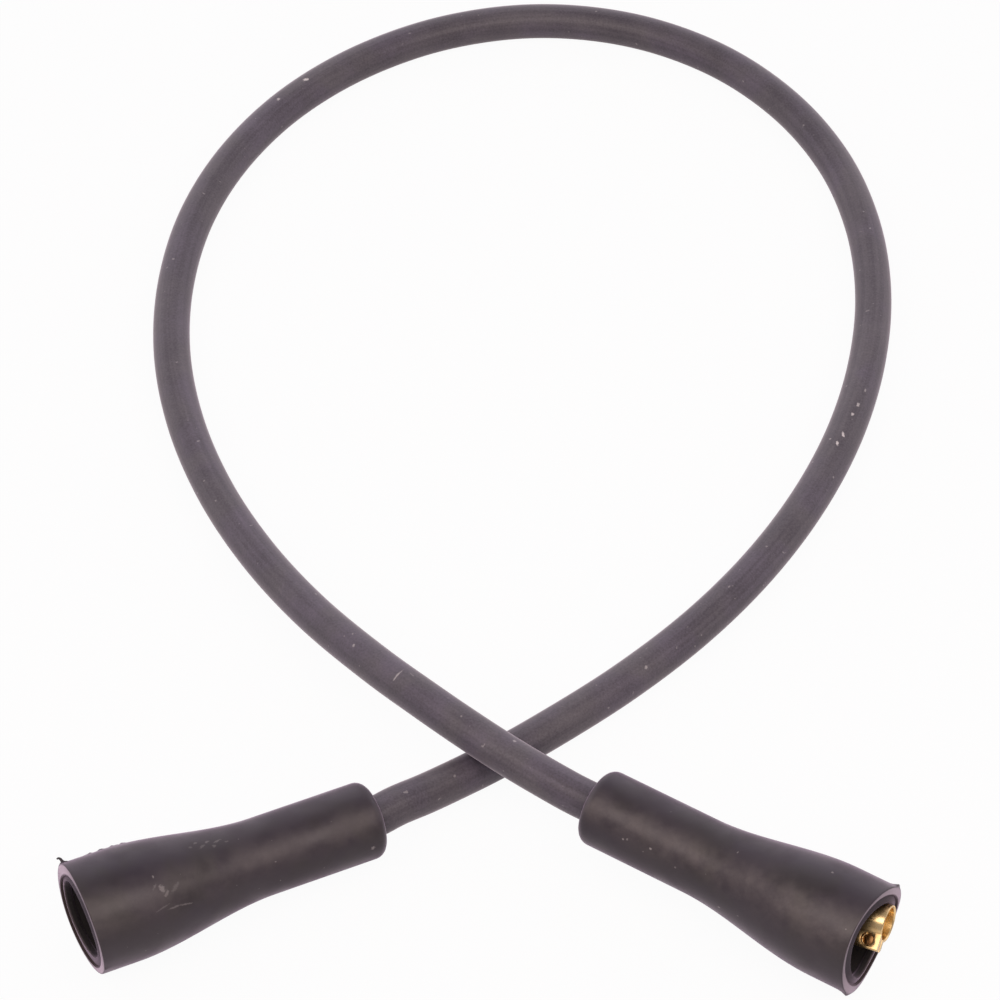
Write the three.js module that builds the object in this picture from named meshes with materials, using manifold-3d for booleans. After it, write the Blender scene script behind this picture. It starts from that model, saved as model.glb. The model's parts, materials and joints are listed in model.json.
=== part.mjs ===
// Ignition coil wire: a rubber covered high tension lead with the same moulded rubber boot on both ends,
// and a split brass socket inside each boot that grips the lead and clamps onto a stud with a small screw.
// Millimetres, +Z up. The origin is on the ground, under the middle of the two boots. The lead leaves
// the boots towards +Y and lies in one crossed loop.

import * as THREE from 'three';
import { mergeVertices } from 'three/addons/utils/BufferGeometryUtils.js';
import Module from 'manifold-3d';

const wasm = await Module();
wasm.setup();

// Lead
const LEAD_DIAMETER = 7.0;
const CORE_DIAMETER = 2.0;
const CORE_BARED = 11.0;
const LEAD_SIDES = 12;
const LEAD_STEPS = 72;

// Boot, a hollow turned form: lengths run from its small end to its mouth
const BOOT_LENGTH = 54.3;
const BOOT_NECK_DIAMETER = 13.6;
const BOOT_NECK_LENGTH = 20.9;
const BOOT_MOUTH_DIAMETER = 19.7;
const BOOT_MOUTH_LENGTH = 7.5;
const BOOT_END_FILLET = 1.9;
const BOOT_RIM_FILLET = 1.2;
const HOLE_FLARE = 0.4;
const HOLE_FLARE_LENGTH = 3.0;
const COUNTERBORE_DIAMETER = 15.8;
const COUNTERBORE_DEPTH = 0.6;
const LIP_DIAMETER = 13.7;
const LIP_THICKNESS = 1.0;
const SOCKET_ROOM_DIAMETER = 14.6;
const SOCKET_ROOM_DEPTH = 13.3;
const ROOM_TAPER = 1.5;
const BOOT_SIDES = 40;

// Brass terminal: a ferrule round the lead, a stem for the bared core, and a split barrel for the stud
const FERRULE_WALL = 0.6;
const FERRULE_GRIP = 7.0;
const FERRULE_SHOULDER = 2.4;
const STEM_WALL = 0.9;
const TERMINAL_REACH = 25.0;
const BARREL_DIAMETER = 6.5;
const BARREL_LENGTH = 11.0;
const BARREL_BORE_DIAMETER = 5.6;
const BARREL_BORE_DEPTH = 10.2;
const BARREL_CHAMFER = 0.2;
const BARREL_SHOULDER = 1.8;
const LUG_REACH = 5.0;
const LUG_NEAR = 2.4;
const LUG_FAR = -0.3;
const LUG_LENGTH = 4.2;
const LUG_NEAR_ROUND = 0.25;
const LUG_FAR_ROUND = 0.8;
const SLIT_WIDTH = 0.3;
const SLIT_OFFSET = 0.9;
const SLIT_DEPTH = 4.7;
const RELIEF_OFFSET = -0.25;
const RELIEF_WIDTH = 0.4;
const TURNED_SIDES = 40;

// Clamp screw, across the lug
const SCREW_OUT = 3.5;
const SCREW_BACK = 2.1;
const SCREW_HEAD_DIAMETER = 1.9;
const SCREW_HEAD_HEIGHT = 0.4;
const SCREW_RECESS = 0.6;
const SCREW_SHANK_DIAMETER = 1.2;
const SCREW_SLOT_WIDTH = 0.35;
const SCREW_SLOT_DEPTH = 0.25;
const SCREW_SIDES = 24;

// Clearances between pieces
const LEAD_CLEARANCE = 0.3;
const SCREW_CLEARANCE = 0.2;
const HEAD_CLEARANCE = 0.15;
const FERRULE_END_CLEARANCE = 0.5;

// How each end lies: the way its mouth points, in degrees from +X, how deep behind the mouth the lead's
// rubber ends, and how its terminal has been pushed over inside the boot
const ENDS = {
  cap: { heading: -153.6, leadDepth: 32.3, leanAcross: 0.0, leanUp: 0.0, roll: 35.6 },
  coil: { heading: -32.4, leadDepth: 23.6, leanAcross: 6.4, leanUp: 5.3, roll: 35.6 },
};

// The lead's centre line on the ground, from the small end of the cap boot to that of the coil boot.
// It crosses over itself in a long low hump.
const ROUTE = [
  [-18.0, 15.0, 7.8],
  [-14.1, 18.0, 7.4],
  [-9.4, 21.6, 6.2],
  [-3.8, 26.3, 4.7],
  [2.5, 31.1, 3.9],
  [10.5, 37.1, 3.7],
  [25.4, 49.4, 3.6],
  [39.1, 63.1, 3.6],
  [50.9, 78.2, 3.6],
  [60.7, 94.7, 3.6],
  [68.3, 112.4, 3.6],
  [73.4, 131.2, 3.6],
  [75.7, 150.6, 3.6],
  [74.7, 169.9, 3.6],
  [70.0, 188.5, 3.6],
  [61.0, 205.5, 3.6],
  [47.7, 219.6, 3.6],
  [30.8, 228.8, 3.6],
  [11.9, 231.8, 3.6],
  [-6.7, 228.4, 3.6],
  [-23.8, 219.5, 3.6],
  [-38.2, 206.4, 3.6],
  [-48.9, 190.4, 3.6],
  [-55.9, 172.4, 3.6],
  [-59.1, 153.2, 3.6],
  [-58.9, 133.8, 3.6],
  [-55.4, 114.9, 3.6],
  [-49.1, 96.8, 4.0],
  [-40.5, 79.5, 5.2],
  [-30.1, 63.1, 7.4],
  [-18.2, 47.9, 10.1],
  [-10.0, 39.2, 11.2],
  [-2.0, 31.7, 11.5],
  [5.7, 25.4, 11.2],
  [12.2, 20.7, 10.8],
  [16.4, 17.9, 10.5],
  [19.8, 15.8, 10.4],
];

// Materials
const rubber = new THREE.MeshStandardMaterial({ color: 0x3b3638, roughness: 0.62, metalness: 0.0 });
const leadRubber = new THREE.MeshStandardMaterial({ color: 0x4a4548, roughness: 0.7, metalness: 0.0 });
const brass = new THREE.MeshStandardMaterial({ color: 0xc79a4b, roughness: 0.3, metalness: 1.0 });
const screwBrass = new THREE.MeshStandardMaterial({ color: 0xd9b873, roughness: 0.25, metalness: 1.0 });
const coreWire = new THREE.MeshStandardMaterial({ color: 0xb87333, roughness: 0.4, metalness: 1.0 });

// Small helpers

const onProfile = (radius, height) => new THREE.Vector2(radius, height);

// A closed profile of radius and height, turned about +Z
function turned(profile, sides) {
  return new THREE.LatheGeometry([...profile, profile[0].clone()], sides).rotateX(Math.PI / 2);
}

// A round bar along +Z from one height to another, with a radius at each end
function bar(radiusLow, low, radiusHigh, high, sides) {
  const geometry = new THREE.CylinderGeometry(radiusHigh, radiusLow, high - low, sides);
  return geometry.rotateX(Math.PI / 2).translate(0, 0, (low + high) / 2);
}

// A block between two opposite corners
function block(low, high) {
  const [dx, dy, dz] = high.map((value, axis) => value - low[axis]);
  const middle = high.map((value, axis) => (value + low[axis]) / 2);
  return new THREE.BoxGeometry(dx, dy, dz).translate(...middle);
}

function solidOf(geometry) {
  const bare = geometry.clone();
  bare.deleteAttribute('normal');
  bare.deleteAttribute('uv');
  const merged = mergeVertices(bare);
  const vertProperties = merged.attributes.position.array;
  const triVerts = new Uint32Array(merged.index.array);
  return new wasm.Manifold(new wasm.Mesh({ numProp: 3, vertProperties, triVerts }));
}

function geometryOf(solid) {
  const { vertProperties, triVerts } = solid.getMesh();
  const geometry = new THREE.BufferGeometry();
  geometry.setAttribute('position', new THREE.BufferAttribute(vertProperties, 3));
  geometry.setIndex(new THREE.BufferAttribute(triVerts, 1));
  geometry.computeVertexNormals();
  return geometry;
}

function named(name, geometry, material) {
  const mesh = new THREE.Mesh(geometry, material);
  mesh.name = name;
  return mesh;
}

// Boot

const leadRadius = LEAD_DIAMETER / 2;
const leadHole = leadRadius + LEAD_CLEARANCE;
const ferruleRadius = leadHole + FERRULE_WALL;
const gripRoom = ferruleRadius + LEAD_CLEARANCE;
const deepestLead = Math.max(...Object.values(ENDS).map((end) => end.leadDepth));
const gripRoomDepth = deepestLead + FERRULE_GRIP + FERRULE_END_CLEARANCE;
const leadInside = (end) => BOOT_LENGTH - end.leadDepth;

// The outside from the small end to the mouth: a rounded end, a straight neck, an S-shaped flare that
// leaves the neck and meets the mouth without a corner, and a straight mouth with a rounded rim
function bootOutside() {
  const neck = BOOT_NECK_DIAMETER / 2;
  const mouth = BOOT_MOUTH_DIAMETER / 2;
  const flareEnd = BOOT_LENGTH - BOOT_MOUTH_LENGTH;
  const points = [];
  const arcSteps = 4;
  for (let step = 0; step <= arcSteps; step += 1) {
    const turn = (step / arcSteps) * (Math.PI / 2);
    const radius = neck - BOOT_END_FILLET * (1 - Math.sin(turn));
    points.push(onProfile(radius, BOOT_END_FILLET * (1 - Math.cos(turn))));
  }
  const flareSteps = 12;
  for (let step = 0; step <= flareSteps; step += 1) {
    const share = step / flareSteps;
    const rise = share * share * (3 - 2 * share);
    points.push(onProfile(neck + (mouth - neck) * rise, THREE.MathUtils.lerp(BOOT_NECK_LENGTH, flareEnd, share)));
  }
  for (let step = 0; step <= arcSteps; step += 1) {
    const turn = (step / arcSteps) * (Math.PI / 2);
    const height = BOOT_LENGTH - BOOT_RIM_FILLET * (1 - Math.sin(turn));
    points.push(onProfile(mouth - BOOT_RIM_FILLET * (1 - Math.cos(turn)), height));
  }
  return points;
}

// The inside from the mouth back to the small end: a shallow counterbore, a sealing lip, the room round
// the socket, the room round the ferrule, and the hole that grips the lead, a little flared where the
// lead comes out
function bootInside() {
  const lipTop = BOOT_LENGTH - COUNTERBORE_DEPTH;
  const lipBottom = lipTop - LIP_THICKNESS;
  const roomBottom = BOOT_LENGTH - SOCKET_ROOM_DEPTH;
  const gripBottom = BOOT_LENGTH - gripRoomDepth;
  return [
    onProfile(COUNTERBORE_DIAMETER / 2, BOOT_LENGTH),
    onProfile(COUNTERBORE_DIAMETER / 2, lipTop),
    onProfile(LIP_DIAMETER / 2, lipTop),
    onProfile(LIP_DIAMETER / 2, lipBottom),
    onProfile(SOCKET_ROOM_DIAMETER / 2, lipBottom - (SOCKET_ROOM_DIAMETER - LIP_DIAMETER) / 2),
    onProfile(SOCKET_ROOM_DIAMETER / 2, roomBottom),
    onProfile(gripRoom, roomBottom - ROOM_TAPER),
    onProfile(gripRoom, gripBottom),
    onProfile(leadHole, gripBottom),
    onProfile(leadHole, HOLE_FLARE_LENGTH),
    onProfile(leadHole + HOLE_FLARE, 0),
  ];
}

function bootGeometry() {
  return turned([...bootOutside(), ...bootInside()], BOOT_SIDES);
}

// Terminal, with the end of the lead's rubber at its origin and the stud's side towards +Z. The ferrule
// stays in line with the lead, and the stem is bent there, so the barrel leans as far as it was pushed.

const coreRadius = CORE_DIAMETER / 2;
const stemBore = coreRadius + LEAD_CLEARANCE;
const stemRadius = stemBore + STEM_WALL;
const barrelRadius = BARREL_DIAMETER / 2;
const boreRadius = BARREL_BORE_DIAMETER / 2;
const wallStart = LEAD_CLEARANCE + 0.1;
const screwHeight = TERMINAL_REACH - SCREW_BACK;
const headTop = LUG_NEAR - SCREW_RECESS;
const headSeat = headTop - SCREW_HEAD_HEIGHT - HEAD_CLEARANCE;

function ferruleGeometry() {
  return turned([
    onProfile(leadHole, -FERRULE_GRIP),
    onProfile(ferruleRadius, -FERRULE_GRIP),
    onProfile(ferruleRadius, wallStart),
    onProfile(stemRadius, wallStart + FERRULE_SHOULDER),
    onProfile(coreRadius, wallStart + FERRULE_SHOULDER),
    onProfile(coreRadius, wallStart),
    onProfile(leadHole, wallStart),
  ], TURNED_SIDES);
}

function barrelOutside() {
  const barrelStart = TERMINAL_REACH - BARREL_LENGTH;
  return turned([
    onProfile(coreRadius, wallStart + FERRULE_SHOULDER / 3),
    onProfile(stemRadius, wallStart + FERRULE_SHOULDER / 3),
    onProfile(stemRadius, barrelStart - BARREL_SHOULDER),
    onProfile(barrelRadius, barrelStart),
    onProfile(barrelRadius, TERMINAL_REACH - BARREL_CHAMFER / 2),
    onProfile(barrelRadius - BARREL_CHAMFER / 2, TERMINAL_REACH),
    onProfile(coreRadius, TERMINAL_REACH),
  ], TURNED_SIDES);
}

// The clamping lug stands off one side of the barrel, flush with its open end
function lugGeometry() {
  const inner = -boreRadius / 2;
  const outline = new THREE.Shape();
  outline.moveTo(inner, LUG_NEAR);
  outline.lineTo(-LUG_REACH + LUG_NEAR_ROUND, LUG_NEAR);
  outline.absarc(-LUG_REACH + LUG_NEAR_ROUND, LUG_NEAR - LUG_NEAR_ROUND, LUG_NEAR_ROUND, Math.PI / 2, Math.PI);
  outline.absarc(-LUG_REACH + LUG_FAR_ROUND, LUG_FAR + LUG_FAR_ROUND, LUG_FAR_ROUND, Math.PI, Math.PI * 1.5);
  outline.lineTo(inner, LUG_FAR);
  const lug = new THREE.ExtrudeGeometry(outline, { depth: LUG_LENGTH, bevelEnabled: false, curveSegments: 5 });
  return lug.translate(0, 0, TERMINAL_REACH - LUG_LENGTH);
}

// A bar across the lug, along its own Y axis, at the clamp screw
function acrossLug(radius, low, high) {
  return bar(radius, low, radius, high, SCREW_SIDES).rotateX(-Math.PI / 2).translate(-SCREW_OUT, 0, screwHeight);
}

function socketCuts() {
  const over = 1;
  const open = TERMINAL_REACH + over;
  const slitBack = TERMINAL_REACH - SLIT_DEPTH;
  const shankHole = SCREW_SHANK_DIAMETER / 2 + SCREW_CLEARANCE;
  const headHole = SCREW_HEAD_DIAMETER / 2 + SCREW_CLEARANCE;
  return [
    bar(stemBore, -over, stemBore, TERMINAL_REACH, TURNED_SIDES),
    bar(boreRadius, TERMINAL_REACH - BARREL_BORE_DEPTH, boreRadius, open, TURNED_SIDES),
    bar(boreRadius, TERMINAL_REACH - BARREL_CHAMFER, boreRadius + BARREL_CHAMFER + over, open, TURNED_SIDES),
    block([-LUG_REACH - over, SLIT_OFFSET - SLIT_WIDTH / 2, slitBack], [-coreRadius, SLIT_OFFSET + SLIT_WIDTH / 2, open]),
    block([coreRadius, RELIEF_OFFSET - RELIEF_WIDTH / 2, slitBack], [barrelRadius + over, RELIEF_OFFSET + RELIEF_WIDTH / 2, open]),
    acrossLug(shankHole, LUG_FAR - SCREW_CLEARANCE, LUG_NEAR),
    acrossLug(headHole, headSeat, LUG_NEAR + over),
  ];
}

function leanOf(end) {
  const across = Math.tan(THREE.MathUtils.degToRad(end.leanAcross));
  const up = Math.tan(THREE.MathUtils.degToRad(end.leanUp));
  const ahead = new THREE.Vector3(0, 0, 1);
  const leaned = new THREE.Vector3(across, up, 1).normalize();
  const roll = new THREE.Quaternion().setFromAxisAngle(ahead, THREE.MathUtils.degToRad(end.roll));
  return new THREE.Quaternion().setFromUnitVectors(ahead, leaned).multiply(roll);
}

function terminalGeometry(lean) {
  const leaned = (geometry) => solidOf(geometry.applyQuaternion(lean));
  let solid = solidOf(ferruleGeometry()).add(leaned(barrelOutside())).add(leaned(lugGeometry()));
  for (const cut of socketCuts()) {
    solid = solid.subtract(leaned(cut));
  }
  return geometryOf(solid);
}

// The clamp screw: a slotted cheese head sunk in the near side of the lug and a shank through both sides
function screwGeometry() {
  const headRadius = SCREW_HEAD_DIAMETER / 2;
  const shank = acrossLug(SCREW_SHANK_DIAMETER / 2, LUG_FAR, headTop - SCREW_HEAD_HEIGHT / 2);
  const head = acrossLug(headRadius, headTop - SCREW_HEAD_HEIGHT, headTop);
  const slot = block(
    [-headRadius * 2, headTop - SCREW_SLOT_DEPTH, -SCREW_SLOT_WIDTH / 2],
    [headRadius * 2, headTop + headRadius, SCREW_SLOT_WIDTH / 2],
  ).rotateY(Math.PI / 5).translate(-SCREW_OUT, 0, screwHeight);
  return geometryOf(solidOf(shank).add(solidOf(head)).subtract(solidOf(slot)));
}

// The bared core of the lead, inside the stem
function coreGeometry() {
  const start = LEAD_CLEARANCE * 1.5;
  return bar(coreRadius, start, coreRadius, start + CORE_BARED, SCREW_SIDES);
}

// How the ends lie. A boot rests on the belly of its flare: its small end is held at the height of the
// lead, and its tilt is the one at which its lowest point just meets the ground.

function restingTilt(exitHeight) {
  const outside = bootOutside();
  const clearance = (tilt) => Math.min(
    ...outside.map((point) => exitHeight + point.y * Math.sin(tilt) - point.x * Math.cos(tilt)),
  );
  let low = -Math.PI / 8;
  let high = Math.PI / 8;
  for (let round = 0; round < 50; round += 1) {
    const middle = (low + high) / 2;
    if (clearance(middle) < 0) {
      low = middle;
    } else {
      high = middle;
    }
  }
  return high;
}

function placed(exit, end) {
  const heading = THREE.MathUtils.degToRad(end.heading);
  const tilt = restingTilt(exit.z);
  const out = new THREE.Vector3(
    Math.cos(heading) * Math.cos(tilt),
    Math.sin(heading) * Math.cos(tilt),
    Math.sin(tilt),
  );
  const across = new THREE.Vector3(0, 0, 1).cross(out).normalize();
  const up = new THREE.Vector3().crossVectors(out, across);
  const group = new THREE.Group();
  group.quaternion.setFromRotationMatrix(new THREE.Matrix4().makeBasis(across, up, out));
  group.position.copy(exit);
  return { group, out };
}

function makeEnd(label, exit, end) {
  const { group, out } = placed(exit, end);
  const lean = leanOf(end);
  const seat = new THREE.Group();
  seat.position.z = leadInside(end);
  const leaned = new THREE.Group();
  leaned.quaternion.copy(lean);
  leaned.add(named(`${label}_clamp_screw`, screwGeometry(), screwBrass));
  leaned.add(named(`${label}_conductor_end`, coreGeometry(), coreWire));
  seat.add(named(`${label}_terminal`, terminalGeometry(lean), brass), leaned);
  group.add(named(`${label}_boot`, bootGeometry(), rubber), seat);
  return { group, out };
}

// The lead runs straight inside each boot and follows the route between them
function leadGeometry(capEnd, coilEnd, exits) {
  const inside = (end, share) => end.exit.clone().addScaledVector(end.out, end.reach * share);
  const cap = { exit: exits[0], out: capEnd.out, reach: leadInside(ENDS.cap) };
  const coil = { exit: exits[1], out: coilEnd.out, reach: leadInside(ENDS.coil) };
  const between = ROUTE.slice(1, -1).map((point) => new THREE.Vector3(...point));
  const points = [
    inside(cap, 1), inside(cap, 0.5), inside(cap, 0.1), cap.exit,
    ...between,
    coil.exit, inside(coil, 0.1), inside(coil, 0.5), inside(coil, 1),
  ];
  const path = new THREE.CatmullRomCurve3(points, false, 'centripetal');
  path.arcLengthDivisions = 2000;
  const corners = [];
  for (let side = 0; side < LEAD_SIDES; side += 1) {
    const turn = (side / LEAD_SIDES) * Math.PI * 2;
    corners.push(onProfile(leadRadius * Math.cos(turn), leadRadius * Math.sin(turn)));
  }
  return new THREE.ExtrudeGeometry(new THREE.Shape(corners), { steps: LEAD_STEPS, extrudePath: path });
}

const wire = new THREE.Group();
wire.name = 'ignition_coil_wire';
const exits = [ROUTE[0], ROUTE[ROUTE.length - 1]].map((point) => new THREE.Vector3(...point));
const capEnd = makeEnd('cap', exits[0], ENDS.cap);
const coilEnd = makeEnd('coil', exits[1], ENDS.coil);
wire.add(named('lead_cable', leadGeometry(capEnd, coilEnd, exits), leadRubber));
wire.add(capEnd.group, coilEnd.group);

export default wire;
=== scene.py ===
# %% [markdown]
# # An ignition coil wire
#
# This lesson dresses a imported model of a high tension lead: a rubber covered wire that lies in one
# crossed loop, with a moulded rubber boot on each end and a split brass socket inside each boot.
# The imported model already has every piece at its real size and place. Blender adds the fine
# surfaces and the finishes. Everything is in metres, in the model's own frame, with +Z up and the
# ground at zero.

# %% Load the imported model
import json

import bpy
import numpy as np
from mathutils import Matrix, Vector


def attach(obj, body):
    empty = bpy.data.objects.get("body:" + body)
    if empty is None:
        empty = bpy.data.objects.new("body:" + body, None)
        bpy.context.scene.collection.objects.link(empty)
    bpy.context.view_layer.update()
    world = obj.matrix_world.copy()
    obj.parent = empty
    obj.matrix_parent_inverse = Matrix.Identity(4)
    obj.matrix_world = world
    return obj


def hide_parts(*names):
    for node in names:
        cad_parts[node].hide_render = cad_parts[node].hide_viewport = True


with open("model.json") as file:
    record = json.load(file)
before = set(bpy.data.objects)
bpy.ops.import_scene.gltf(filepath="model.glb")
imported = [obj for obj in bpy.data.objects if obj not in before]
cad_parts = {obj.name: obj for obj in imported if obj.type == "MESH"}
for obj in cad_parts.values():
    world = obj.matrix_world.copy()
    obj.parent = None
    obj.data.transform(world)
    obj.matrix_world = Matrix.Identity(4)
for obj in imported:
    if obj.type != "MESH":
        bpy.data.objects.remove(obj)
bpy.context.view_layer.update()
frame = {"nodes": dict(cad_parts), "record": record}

MM = 0.001
ENDS = ("cap", "coil")


# %% [markdown]
# ## The camera
#
# The photograph looks down at the wire at a little over 45 degrees, from far away through a long
# lens, so there is hardly any perspective. A camera could be placed by eye. This one was worked out
# from what is known: the lead is 7 mm across everywhere, and each round mouth shows as an ellipse
# whose shape gives the angle. The camera stands on a line through a point on the ground inside the
# loop.

# %% Place the camera
CAMERA_TARGET = Vector((3.6, 98.0, 0.0)) * MM
CAMERA_DISTANCE = 0.8077
CAMERA_ELEVATION = np.radians(46.0)
# Blender measures the lens and the sensor in millimetres.
CAMERA_LENS = 156.8
CAMERA_SENSOR = 36.0
CAMERA_CLIP_START = 0.01


def linked(name, data):
    """A new object with this data, added to the scene."""
    made = bpy.data.objects.new(name, data)
    bpy.context.collection.objects.link(made)
    return made


def in_front(elevation):
    """The direction to something that stands in front of the wire at an elevation: 0, -cos, sin."""
    return Vector((0.0, -np.cos(elevation), np.sin(elevation)))


def aim_at_target(looker, direction, distance):
    """Put an object at target + direction times distance, and turn its -Z axis to the target."""
    looker.location = CAMERA_TARGET + direction * distance
    looker.rotation_mode = "QUATERNION"
    looker.rotation_quaternion = (-direction).to_track_quat("-Z", "Y")


towards_camera = in_front(CAMERA_ELEVATION)
camera = linked("camera", bpy.data.cameras.new("camera"))
camera.data.lens = CAMERA_LENS
camera.data.sensor_width = CAMERA_SENSOR
camera.data.clip_start = CAMERA_CLIP_START
aim_at_target(camera, towards_camera, CAMERA_DISTANCE)
bpy.context.scene.camera = camera
print("the camera stands", round(camera.location.z / MM), "mm above the ground")

# %% [markdown]
# ## Surfaces from grids of points
#
# Every new surface here is a grid: rows that follow one another along a piece, and columns that go
# round it. Four neighbouring points make a face. Rows that close on themselves make a ring, and
# open ones get a flat cap at each end. Each corner of a face also keeps two lengths, the way round
# and the way along, as a UV map, so that a finish can follow the piece wherever it bends.

# %% Make a mesh from a grid
UP = (0.0, 0.0, 1.0)


def unit(vectors):
    """The same directions with length 1: each vector over its own length."""
    vectors = np.asarray(vectors, dtype=float)
    return vectors / np.linalg.norm(vectors, axis=-1, keepdims=True)


def shade_smooth(mesh):
    """Let the light run smoothly over the borders between faces."""
    mesh.polygons.foreach_set("use_smooth", np.ones(len(mesh.polygons), dtype=bool))


def grid_corners(rows, columns, closed_rows):
    """The rows and columns of each face's four corners: (r, c), (r, c+1), (r+1, c+1), (r+1, c). The
    last face of a closed direction counts on past the end."""
    row, column = np.meshgrid(
        np.arange(rows if closed_rows else rows - 1), np.arange(columns), indexing="ij"
    )
    corner_rows = np.stack([row, row, row + 1, row + 1], -1).reshape(-1, 4)
    corner_columns = np.stack([column, column + 1, column + 1, column], -1).reshape(-1, 4)
    return corner_rows, corner_columns


def grid_object(name, points, around, along, closed_rows=False, turned=False):
    """A smooth object from points[row, column]. around and along are the lengths at the borders of
    the columns and rows, one more of each than there are faces. turned swaps the faces' sides."""
    rows, columns = points.shape[:2]
    corner_rows, corner_columns = grid_corners(rows, columns, closed_rows)
    if turned:
        corner_rows = corner_rows[:, ::-1]
        corner_columns = corner_columns[:, ::-1]
    faces = (corner_rows % rows) * columns + corner_columns % columns
    caps = []
    if not closed_rows:
        first = list(range(columns))
        last = [(rows - 1) * columns + column for column in range(columns)]
        caps = [first, last[::-1]] if turned else [first[::-1], last]
    mesh = bpy.data.meshes.new(name)
    mesh.from_pydata(points.reshape(-1, 3), [], faces.tolist() + caps)
    lengths = np.stack([around[corner_columns], along[corner_rows]], -1).reshape(-1, 2)
    corner_lengths = np.zeros((len(mesh.loops), 2), dtype=np.float32)
    corner_lengths[:len(lengths)] = lengths
    mesh.uv_layers.new(name="lengths").data.foreach_set("uv", corner_lengths.ravel())
    shade_smooth(mesh)
    mesh.update()
    return linked(name, mesh)


# %% [markdown]
# ## The lead's route
#
# A lead is a fixed length of something springy, so its route comes first. These points were chosen
# along its middle, from the small end of the left boot, round the loop, over itself in a long low
# hump and into the small end of the right boot. Inside the boots it runs straight, along the boot's
# own axis, which the imported record gives as the direction in which each mouth faces.

# %% Points of the route, in millimetres
ROUTE = [
    (-18.0, 15.0, 7.8), (-14.1, 18.0, 7.4), (-9.4, 21.6, 6.2), (-3.8, 26.3, 4.7),
    (2.5, 31.1, 3.9), (10.5, 37.1, 3.7), (25.4, 49.4, 3.6), (39.1, 63.1, 3.6),
    (50.9, 78.2, 3.6), (60.7, 94.7, 3.6), (68.3, 112.4, 3.6), (73.4, 131.2, 3.6),
    (75.7, 150.6, 3.6), (74.7, 169.9, 3.6), (70.0, 188.5, 3.6), (61.0, 205.5, 3.6),
    (47.7, 219.6, 3.6), (30.8, 228.8, 3.6), (11.9, 231.8, 3.6), (-6.7, 228.4, 3.6),
    (-23.8, 219.5, 3.6), (-38.2, 206.4, 3.6), (-48.9, 190.4, 3.6), (-55.9, 172.4, 3.6),
    (-59.1, 153.2, 3.6), (-58.9, 133.8, 3.6), (-55.4, 114.9, 3.6), (-49.1, 96.8, 4.0),
    (-40.5, 79.5, 5.2), (-30.1, 63.1, 7.4), (-18.2, 47.9, 10.1), (-10.0, 39.2, 11.2),
    (-2.0, 31.7, 11.5), (5.7, 25.4, 11.2), (12.2, 20.7, 10.8), (16.4, 17.9, 10.5),
    (19.8, 15.8, 10.4),
]
LEAD_DIAMETER = 7.0 * MM
LEAD_INSIDE = {"cap": 22.0 * MM, "coil": 30.7 * MM}
INSIDE_SHARES = (0.1, 0.5, 1.0)

route = np.array(ROUTE) * MM
exits = {"cap": route[0], "coil": route[-1]}
mouth_axes = {
    mount["name"].removesuffix("_mouth"): unit(mount["axis"]) for mount in frame["record"]["mounts"]
}


def inside_boot(end):
    """Points on the boot's axis, at shares of the length that the lead reaches in."""
    return [exits[end] + mouth_axes[end] * LEAD_INSIDE[end] * share for share in INSIDE_SHARES]


lead_points = np.vstack([inside_boot("cap")[::-1], route, inside_boot("coil")])
print("the route has", len(lead_points), "points")

# %% [markdown]
# A curve through chosen points can overshoot where they are unevenly spaced. The one used here,
# called centripetal, doesn't: it gives each stretch a time that is the square root of its length,
# and passes each point in the direction that its two neighbours suggest.

# %% Smooth the route
LEAD_CURVE_STEPS = 40
LEAD_RINGS = 620


def centripetal_curve(points, steps):
    """Points on a centripetal curve, steps of them on each stretch. Between points p1 and p2 it is
    the cubic that leaves p1 and reaches p2 with slopes blended from the stretches beside it."""
    padded = np.vstack([2 * points[0] - points[1], points, 2 * points[-1] - points[-2]])
    p0, p1, p2, p3 = (padded[start:len(padded) - 3 + start][:, None, :] for start in range(4))
    d0, d1, d2 = (
        np.sqrt(np.linalg.norm(after - before, axis=2, keepdims=True))
        for before, after in ((p0, p1), (p1, p2), (p2, p3))
    )
    leave = ((p1 - p0) / d0 - (p2 - p0) / (d0 + d1) + (p2 - p1) / d1) * d1
    reach = ((p2 - p1) / d1 - (p3 - p1) / (d1 + d2) + (p3 - p2) / d2) * d1
    t = np.linspace(0, 1, steps, endpoint=False)[None, :, None]
    curve = (
        (2 * t**3 - 3 * t**2 + 1) * p1 + (t**3 - 2 * t**2 + t) * leave
        + (3 * t**2 - 2 * t**3) * p2 + (t**3 - t**2) * reach
    )
    return np.vstack([curve.reshape(-1, 3), points[-1:]])


def evenly_spaced(curve, count):
    """The same line with count points at equal lengths along it, and those lengths."""
    steps = np.linalg.norm(np.diff(curve, axis=0), axis=1)
    lengths = np.concatenate([[0], np.cumsum(steps)])
    even = np.linspace(0, lengths[-1], count)
    return np.stack([np.interp(even, lengths, curve[:, axis]) for axis in range(3)], -1), even


lead_line, lead_lengths = evenly_spaced(
    centripetal_curve(lead_points, LEAD_CURVE_STEPS), LEAD_RINGS
)

# %% [markdown]
# ## The lead's surface
#
# The rubber was pushed out of a round die, so its section is a circle that travels along the route.
# A curve with a bevel could do that, but a grid also gives the lengths that the finish needs. Each
# ring needs two directions across the line. Here they come from the vertical: one lies flat and the
# other is square to it. That works because the lead never points straight up.

# %% Carry a circle along the route
LEAD_SIDES = 64


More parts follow.
